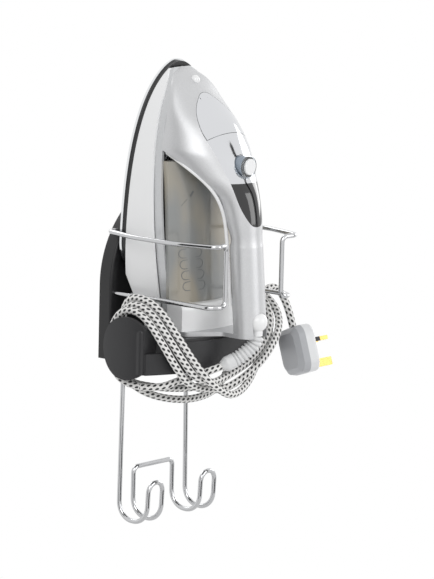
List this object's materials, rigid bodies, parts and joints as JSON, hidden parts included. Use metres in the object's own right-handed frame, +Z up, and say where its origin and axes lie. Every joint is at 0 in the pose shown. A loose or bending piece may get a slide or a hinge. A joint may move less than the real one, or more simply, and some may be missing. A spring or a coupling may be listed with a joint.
{
  "type": "wall store for a steam iron and an ironing board",
  "caption": "Wall-mounted wire cage and tray holding a steam iron upright with its cord wound on two ears, above two open hooks for a board.",
  "frame": {"origin": "centre of the backing plate's rear face, on the wall plane", "axes": "+Y into the wall, front faces -Y, +Z up, +X to the right of someone facing the wall"},
  "size_m": [0.2262, 0.1499, 0.4392],
  "materials": {
    "black_plastic": "matte black moulded plastic",
    "tray_plastic": "satin charcoal moulded plastic",
    "chrome_wire": "bright plated steel wire",
    "steel": "plated steel",
    "sole_metal": "polished aluminium",
    "cast_metal": "raw cast aluminium",
    "shield_black": "black heat-proof plastic",
    "white_plastic": "gloss white plastic",
    "silver_plastic": "silver metallic plastic",
    "chrome_trim": "dark chrome-plated plastic",
    "black_gloss": "gloss black plastic",
    "smoke_tank": "smoked translucent plastic",
    "dial_barrel": "grey-blue plastic",
    "clear_ring": "clear plastic ring",
    "cord_braid": "off-white braid with black flecks",
    "sleeve_white": "soft white plastic",
    "plug_white": "white plug moulding",
    "plug_back": "grey plug cover",
    "brass": "brass",
    "pin_insulation": "black pin insulation",
    "ceramic": "ceramic fuse body"
  },
  "bodies": {
    "holder": {"back_plate": "black_plastic", "cage_wire": "chrome_wire", "hook_wire": "chrome_wire", "tray": "tray_plastic", "tray_screws": "steel", "cord_lead": "cord_braid", "cord_wound": "cord_braid", "plug_body": "plug_white", "plug_cover": "plug_back", "earth_pin": "brass", "line_pins": "brass", "pin_sleeves": "pin_insulation"},
    "iron": {"accent_band": "silver_plastic", "control_head": "black_gloss", "flap_pin": "steel", "grip_insert": "black_gloss", "heat_shield": "shield_black", "heating_element": "steel", "heel_block": "white_plastic", "pump": "white_plastic", "rear_cover": "silver_plastic", "rear_cover_screw": "steel", "shell": "silver_plastic", "skirt": "white_plastic", "soleplate": "sole_metal", "spray_nozzle": "white_plastic", "spray_tube": "sleeve_white", "steam_chamber_lid": "cast_metal", "terminal_block": "white_plastic", "thermostat": "steel", "water_tank": "smoke_tank", "bend_protector": "sleeve_white"},
    "fill_flap": {"fill_flap": "chrome_trim"},
    "steam_dial": {"steam_dial": "dial_barrel", "dial_ring": "clear_ring"},
    "boost_button": {"boost_button": "white_plastic"},
    "cord_ball": {"cord_ball": "white_plastic"},
    "fuse_carrier": {"fuse_carrier": "plug_white", "fuse": "ceramic"}
  },
  "joints": [
    {"name": "iron_lift", "type": "slide", "parent": "holder", "child": "iron", "axis": [0, 0, 1], "range_m": [0, 0.025]},
    {"name": "fill_flap_open", "type": "hinge", "parent": "iron", "child": "fill_flap", "pos_m": [0, -0.0707, 0.1522], "axis": [-1, 0, 0], "range_deg": [0, 20]},
    {"name": "steam_dial_turn", "type": "hinge", "parent": "iron", "child": "steam_dial", "pos_m": [0, -0.112, 0.094], "axis": [0, -1, 0], "range_deg": [0, 270]},
    {"name": "boost_button_press", "type": "slide", "parent": "steam_dial", "child": "boost_button", "axis": [0, 1, 0], "range_m": [0, 0.0016], "stiffness_N_per_m": 400},
    {"name": "cord_ball_turn", "type": "hinge", "parent": "iron", "child": "cord_ball", "pos_m": [0, -0.1403, -0.05], "axis": [0, 0, 1], "range_deg": [-90, 90]},
    {"name": "fuse_carrier_pull", "type": "slide", "parent": "holder", "child": "fuse_carrier", "axis": [0.9037, -0.4119, 0.1167], "range_m": [0, 0.01]}
  ]
}
